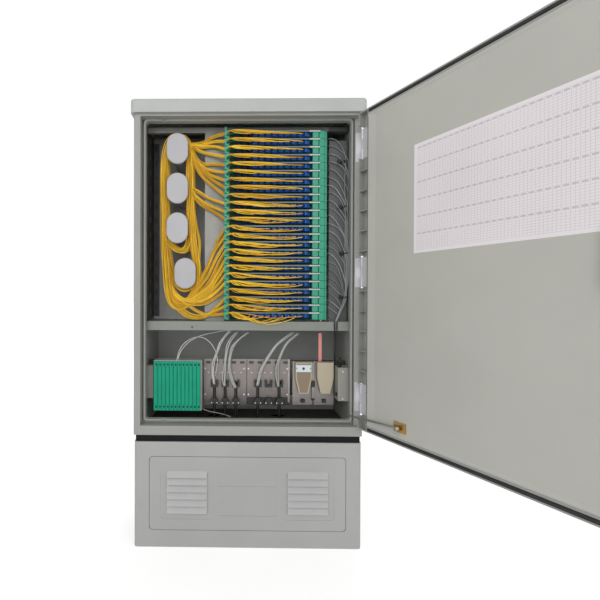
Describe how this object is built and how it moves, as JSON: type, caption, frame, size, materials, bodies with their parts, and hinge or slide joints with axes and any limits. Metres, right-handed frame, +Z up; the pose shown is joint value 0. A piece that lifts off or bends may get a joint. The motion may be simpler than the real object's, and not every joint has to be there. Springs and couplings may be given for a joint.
{
  "type": "optical distribution cabinet",
  "caption": "Floor-standing street cabinet with a hinged door, swing-out fibre trays, cord spools, splice cassettes and a louvred plinth.",
  "frame": {"origin": "on the ground under the middle of the plinth", "axes": "+X to the right seen from the front, +Y towards the rear, +Z up; the front faces -Y"},
  "size_m": [1.0766, 0.9557, 1.45],
  "materials": {
    "body_grey": "fine texture",
    "cap_grey": "fine texture",
    "plinth_grey": "fine texture",
    "dark_band": "matte",
    "floor_black": "matte",
    "liner_grey": "fine texture",
    "seal_black": "matte",
    "hinge_steel": "brushed",
    "rod_steel": "zinc plated",
    "lock_metal": "satin",
    "brass": "satin",
    "galvanised": "galvanised",
    "spool_white": "satin",
    "tray_green": "satin",
    "cord_yellow": "satin",
    "tube_clear": "translucent",
    "cable_black": "satin",
    "clamp_black": "satin",
    "fanout_beige": "satin",
    "copper": "copper, satin",
    "box_grey": "satin"
  },
  "bodies": {
    "cabinet": {"plinth": "plinth_grey", "plinth_cover": "plinth_grey", "base_frame": "dark_band", "left_side_panel": "body_grey", "right_side_panel": "body_grey", "rear_panel": "body_grey", "floor_panel": "floor_black", "door_frame": "body_grey", "roof_cap": "cap_grey", "hinge_frame_leaves": "hinge_steel", "mounting_frame": "galvanised", "tray_pivot_rod": "rod_steel", "cross_beam": "galvanised", "cord_spools": "spool_white", "spool_caps": "spool_white", "cassette_box": "galvanised", "splice_cassettes": "tray_green", "cable_plates": "galvanised", "cable_clamps": "clamp_black", "fanout_covers": "fanout_beige", "earth_bar": "copper", "side_box": "box_grey", "patch_cords": "cord_yellow", "pigtail_tubes": "tube_clear", "cable_tubes": "tube_clear", "feeder_cables": "cable_black"},
    "door": {"door_shell": "body_grey", "door_seal": "seal_black", "door_liner": "liner_grey", "hinge_door_leaves": "hinge_steel", "stay_bracket": "brass", "lock_case": "lock_metal"},
    "stay": {"stay_rod": "rod_steel"},
    "lock_handle": {"lock_handle": "lock_metal"},
    "upper_lock_rod": {"upper_lock_rod": "rod_steel"},
    "lower_lock_rod": {"lower_lock_rod": "rod_steel"},
    "tray_01": {"tray_01": "tray_green"},
    "tray_02": {"tray_02": "tray_green"},
    "tray_03": {"tray_03": "tray_green"},
    "tray_04": {"tray_04": "tray_green"},
    "tray_05": {"tray_05": "tray_green"},
    "tray_06": {"tray_06": "tray_green"},
    "tray_07": {"tray_07": "tray_green"},
    "tray_08": {"tray_08": "tray_green"},
    "tray_09": {"tray_09": "tray_green"},
    "tray_10": {"tray_10": "tray_green"},
    "tray_11": {"tray_11": "tray_green"},
    "tray_12": {"tray_12": "tray_green"},
    "tray_13": {"tray_13": "tray_green"},
    "tray_14": {"tray_14": "tray_green"},
    "tray_15": {"tray_15": "tray_green"},
    "tray_16": {"tray_16": "tray_green"},
    "tray_17": {"tray_17": "tray_green"},
    "tray_18": {"tray_18": "tray_green"},
    "tray_19": {"tray_19": "tray_green"},
    "tray_20": {"tray_20": "tray_green"},
    "tray_21": {"tray_21": "tray_green"},
    "tray_22": {"tray_22": "tray_green"},
    "tray_23": {"tray_23": "tray_green"},
    "tray_24": {"tray_24": "tray_green"}
  },
  "joints": [
    {"name": "door_hinge", "type": "hinge", "parent": "cabinet", "child": "door", "pos_m": [0.366, -0.152, 0.895], "axis": [0, 0, 1], "range_deg": [-117.4, 0]},
    {"name": "stay_pivot", "type": "hinge", "parent": "door", "child": "stay", "pos_m": [0.41405, -0.31857, 0.447], "axis": [0, 0, 1], "range_deg": [0, 182.8]},
    {"name": "lock_turn", "type": "hinge", "parent": "door", "child": "lock_handle", "pos_m": [0.66053, -0.7202, 0.885], "axis": [-0.8878, -0.4602, 0], "range_deg": [0, 90]},
    {"name": "upper_rod_slide", "type": "slide", "parent": "door", "child": "upper_lock_rod", "axis": [0, 0, 1], "range_m": [0, 0.008]},
    {"name": "lower_rod_slide", "type": "slide", "parent": "door", "child": "lower_lock_rod", "axis": [0, 0, -1], "range_m": [0, 0.008]},
    {"name": "tray_swing_01", "type": "hinge", "parent": "cabinet", "child": "tray_01", "pos_m": [0.252, -0.068, 1.3587], "axis": [0, 0, 1], "range_deg": [0, 75]},
    {"name": "tray_swing_02", "type": "hinge", "parent": "cabinet", "child": "tray_02", "pos_m": [0.252, -0.068, 1.3322], "axis": [0, 0, 1], "range_deg": [0, 75]},
    {"name": "tray_swing_03", "type": "hinge", "parent": "cabinet", "child": "tray_03", "pos_m": [0.252, -0.068, 1.3057], "axis": [0, 0, 1], "range_deg": [0, 75]},
    {"name": "tray_swing_04", "type": "hinge", "parent": "cabinet", "child": "tray_04", "pos_m": [0.252, -0.068, 1.2792], "axis": [0, 0, 1], "range_deg": [0, 75]},
    {"name": "tray_swing_05", "type": "hinge", "parent": "cabinet", "child": "tray_05", "pos_m": [0.252, -0.068, 1.2528], "axis": [0, 0, 1], "range_deg": [0, 75]},
    {"name": "tray_swing_06", "type": "hinge", "parent": "cabinet", "child": "tray_06", "pos_m": [0.252, -0.068, 1.2263], "axis": [0, 0, 1], "range_deg": [0, 75]},
    {"name": "tray_swing_07", "type": "hinge", "parent": "cabinet", "child": "tray_07", "pos_m": [0.252, -0.068, 1.1998], "axis": [0, 0, 1], "range_deg": [0, 75]},
    {"name": "tray_swing_08", "type": "hinge", "parent": "cabinet", "child": "tray_08", "pos_m": [0.252, -0.068, 1.1732], "axis": [0, 0, 1], "range_deg": [0, 75]},
    {"name": "tray_swing_09", "type": "hinge", "parent": "cabinet", "child": "tray_09", "pos_m": [0.252, -0.068, 1.1467], "axis": [0, 0, 1], "range_deg": [0, 75]},
    {"name": "tray_swing_10", "type": "hinge", "parent": "cabinet", "child": "tray_10", "pos_m": [0.252, -0.068, 1.1202], "axis": [0, 0, 1], "range_deg": [0, 75]},
    {"name": "tray_swing_11", "type": "hinge", "parent": "cabinet", "child": "tray_11", "pos_m": [0.252, -0.068, 1.0938], "axis": [0, 0, 1], "range_deg": [0, 75]},
    {"name": "tray_swing_12", "type": "hinge", "parent": "cabinet", "child": "tray_12", "pos_m": [0.252, -0.068, 1.0673], "axis": [0, 0, 1], "range_deg": [0, 75]},
    {"name": "tray_swing_13", "type": "hinge", "parent": "cabinet", "child": "tray_13", "pos_m": [0.252, -0.068, 1.0408], "axis": [0, 0, 1], "range_deg": [0, 75]},
    {"name": "tray_swing_14", "type": "hinge", "parent": "cabinet", "child": "tray_14", "pos_m": [0.252, -0.068, 1.0143], "axis": [0, 0, 1], "range_deg": [0, 75]},
    {"name": "tray_swing_15", "type": "hinge", "parent": "cabinet", "child": "tray_15", "pos_m": [0.252, -0.068, 0.9878], "axis": [0, 0, 1], "range_deg": [0, 75]},
    {"name": "tray_swing_16", "type": "hinge", "parent": "cabinet", "child": "tray_16", "pos_m": [0.252, -0.068, 0.9613], "axis": [0, 0, 1], "range_deg": [0, 75]},
    {"name": "tray_swing_17", "type": "hinge", "parent": "cabinet", "child": "tray_17", "pos_m": [0.252, -0.068, 0.9347], "axis": [0, 0, 1], "range_deg": [0, 75]},
    {"name": "tray_swing_18", "type": "hinge", "parent": "cabinet", "child": "tray_18", "pos_m": [0.252, -0.068, 0.9083], "axis": [0, 0, 1], "range_deg": [0, 75]},
    {"name": "tray_swing_19", "type": "hinge", "parent": "cabinet", "child": "tray_19", "pos_m": [0.252, -0.068, 0.8818], "axis": [0, 0, 1], "range_deg": [0, 75]},
    {"name": "tray_swing_20", "type": "hinge", "parent": "cabinet", "child": "tray_20", "pos_m": [0.252, -0.068, 0.8552], "axis": [0, 0, 1], "range_deg": [0, 75]},
    {"name": "tray_swing_21", "type": "hinge", "parent": "cabinet", "child": "tray_21", "pos_m": [0.252, -0.068, 0.8287], "axis": [0, 0, 1], "range_deg": [0, 75]},
    {"name": "tray_swing_22", "type": "hinge", "parent": "cabinet", "child": "tray_22", "pos_m": [0.252, -0.068, 0.8023], "axis": [0, 0, 1], "range_deg": [0, 75]},
    {"name": "tray_swing_23", "type": "hinge", "parent": "cabinet", "child": "tray_23", "pos_m": [0.252, -0.068, 0.7758], "axis": [0, 0, 1], "range_deg": [0, 75]},
    {"name": "tray_swing_24", "type": "hinge", "parent": "cabinet", "child": "tray_24", "pos_m": [0.252, -0.068, 0.7492], "axis": [0, 0, 1], "range_deg": [0, 75]}
  ],
  "couplings": [
    {"joint": "stay_pivot", "follows": "door_hinge", "ratio": -1.557},
    {"joint": "upper_rod_slide", "follows": "lock_turn", "m_per_rad": 0.005092},
    {"joint": "lower_rod_slide", "follows": "lock_turn", "m_per_rad": 0.005092}
  ]
}
